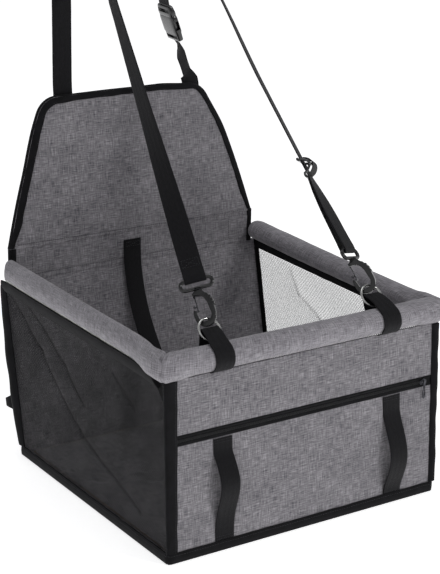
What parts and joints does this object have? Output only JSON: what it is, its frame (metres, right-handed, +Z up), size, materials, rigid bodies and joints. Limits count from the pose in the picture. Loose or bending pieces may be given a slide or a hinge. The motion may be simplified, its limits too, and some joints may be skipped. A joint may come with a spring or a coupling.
{
  "type": "pet car basket",
  "caption": "Folding cloth booster basket for a small dog, with net sides, a tube rim, a back flap and straps that hook round a car seat's headrest.",
  "frame": {"origin": "middle of the floor panel's underside, where the basket rests on the seat", "axes": "+X to the right seen from the front, +Y towards the seat's back, +Z up"},
  "size_m": [0.4034, 0.4464, 0.6756],
  "materials": {
    "oxford_cloth": "woven melange polyester cloth, matt",
    "sleeve_cloth": "the same cloth stretched over the rim, paler in the light",
    "net_cloth": "fine knitted polyester net, see-through",
    "webbing": "ribbed polypropylene webbing, faint sheen",
    "binding_tape": "folded woven binding tape, matt",
    "pvc_tube": "plain extruded pipe",
    "fibre_board": "plain pressed board",
    "moulded_plastic": "moulded, half gloss",
    "plated_steel": "bright nickel plate",
    "black_metal": "black lacquer over metal"
  },
  "bodies": {
    "basket": {"back_panel": "oxford_cloth", "base_board": "fibre_board", "belt_loop_left": "webbing", "belt_loop_right": "webbing", "bottom_binding": "binding_tape", "corner_elbow_front_left": "pvc_tube", "corner_elbow_front_right": "pvc_tube", "floor_panel": "oxford_cloth", "fold_strip": "oxford_cloth", "front_left_binding": "binding_tape", "front_lining": "oxford_cloth", "front_right_binding": "binding_tape", "front_sleeve": "sleeve_cloth", "front_tube": "pvc_tube", "front_upper_panel": "oxford_cloth", "left_mesh": "net_cloth", "left_sleeve": "sleeve_cloth", "left_top_binding": "binding_tape", "left_tube": "pvc_tube", "pocket_panel": "oxford_cloth", "rear_channel": "sleeve_cloth", "rear_left_binding": "binding_tape", "rear_right_binding": "binding_tape", "rear_tab_left": "webbing", "rear_tab_right": "webbing", "rear_tube": "pvc_tube", "right_mesh": "net_cloth", "right_sleeve": "sleeve_cloth", "right_top_binding": "binding_tape", "right_tube": "pvc_tube", "rim_loop_left": "webbing", "rim_loop_right": "webbing", "zipper_tape": "binding_tape"},
    "flap": {"flap_front_cover": "oxford_cloth", "flap_rear_cover": "oxford_cloth", "flap_board": "fibre_board", "flap_binding": "binding_tape", "back_strap_left": "webbing", "back_strap_right": "webbing", "buckle_socket": "moulded_plastic"},
    "back_loop": {"back_strap_loop": "webbing", "buckle_plug": "moulded_plastic"},
    "ring_left": {"ring_left": "plated_steel"},
    "ring_right": {"ring_right": "plated_steel"},
    "front_strap": {"front_strap": "webbing", "hook_eye_left": "moulded_plastic", "hook_eye_right": "moulded_plastic"},
    "hook_left": {"hook_body_left": "moulded_plastic"},
    "hook_right": {"hook_body_right": "moulded_plastic"},
    "gate_left": {"hook_gate_left": "plated_steel"},
    "gate_right": {"hook_gate_right": "plated_steel"},
    "adjuster": {"strap_adjuster": "black_metal", "adjuster_tuck": "webbing"},
    "zip_slider": {"zipper_slider": "black_metal"},
    "zip_pull": {"zipper_pull": "black_metal"},
    "lead": {"lead_strap": "webbing", "hook_body_lead": "moulded_plastic"},
    "gate_lead": {"hook_gate_lead": "plated_steel"}
  },
  "joints": [
    {"name": "flap_fold", "type": "hinge", "parent": "basket", "child": "flap", "pos_m": [0, 0.1925, 0.256], "axis": [1, 0, 0], "range_deg": [-95, 3]},
    {"name": "buckle_release", "type": "slide", "parent": "flap", "child": "back_loop", "axis": [-0.3584, 0, 0.9336], "range_m": [0, 0.022]},
    {"name": "ring_left_swing", "type": "hinge", "parent": "basket", "child": "ring_left", "pos_m": [-0.1151, -0.16514, 0.25448], "axis": [1, 0, 0], "range_deg": [-3, 6]},
    {"name": "ring_right_swing", "type": "hinge", "parent": "basket", "child": "ring_right", "pos_m": [0.1081, -0.16514, 0.25448], "axis": [1, 0, 0], "range_deg": [-3, 6]},
    {"name": "strap_swing", "type": "hinge", "parent": "ring_left", "child": "front_strap", "pos_m": [0, -0.1575, 0.263], "axis": [1, 0, 0], "range_deg": [0, 22]},
    {"name": "hook_left_swivel", "type": "hinge", "parent": "front_strap", "child": "hook_left", "pos_m": [-0.11064, -0.13517, 0.28789], "axis": [0.0989, 0.6645, 0.7407], "range_deg": [-10, 0]},
    {"name": "gate_left_press", "type": "hinge", "parent": "hook_left", "child": "gate_left", "pos_m": [-0.11569, -0.13516, 0.28112], "axis": [-0.7036, -0.4796, 0.5242], "range_deg": [0, 22], "stiffness_Nm_per_rad": 0.02, "springref_deg": -20.05},
    {"name": "hook_right_swivel", "type": "hinge", "parent": "front_strap", "child": "hook_right", "pos_m": [0.10364, -0.13517, 0.28789], "axis": [-0.0989, 0.6645, 0.7407], "range_deg": [-10, 4]},
    {"name": "gate_right_press", "type": "hinge", "parent": "hook_right", "child": "gate_right", "pos_m": [0.09968, -0.13576, 0.28046], "axis": [-0.7036, -0.573, 0.4201], "range_deg": [0, 22], "stiffness_Nm_per_rad": 0.02, "springref_deg": -20.05},
    {"name": "adjuster_slide", "type": "slide", "parent": "front_strap", "child": "adjuster", "axis": [-0.0989, 0.6645, 0.7407], "range_m": [0, 0.1]},
    {"name": "zip_slide", "type": "slide", "parent": "basket", "child": "zip_slider", "axis": [1, 0, 0], "range_m": [-0.33, 0]},
    {"name": "zip_pull_lift", "type": "hinge", "parent": "zip_slider", "child": "zip_pull", "pos_m": [0.1686, -0.19867, 0.1454], "axis": [1, 0, 0], "range_deg": [-90, 0]},
    {"name": "lead_swing", "type": "hinge", "parent": "basket", "child": "lead", "pos_m": [-0.004, 0.1859, 0.2433], "axis": [1, 0, 0], "range_deg": [-60, 0]},
    {"name": "gate_lead_press", "type": "hinge", "parent": "lead", "child": "gate_lead", "pos_m": [-0.0104, -0.0283, 0.01026], "axis": [0, -0.0175, 0.9998], "range_deg": [0, 22], "stiffness_Nm_per_rad": 0.02, "springref_deg": -20.05}
  ],
  "couplings": [
    {"joint": "ring_right_swing", "follows": "ring_left_swing", "ratio": 1}
  ]
}
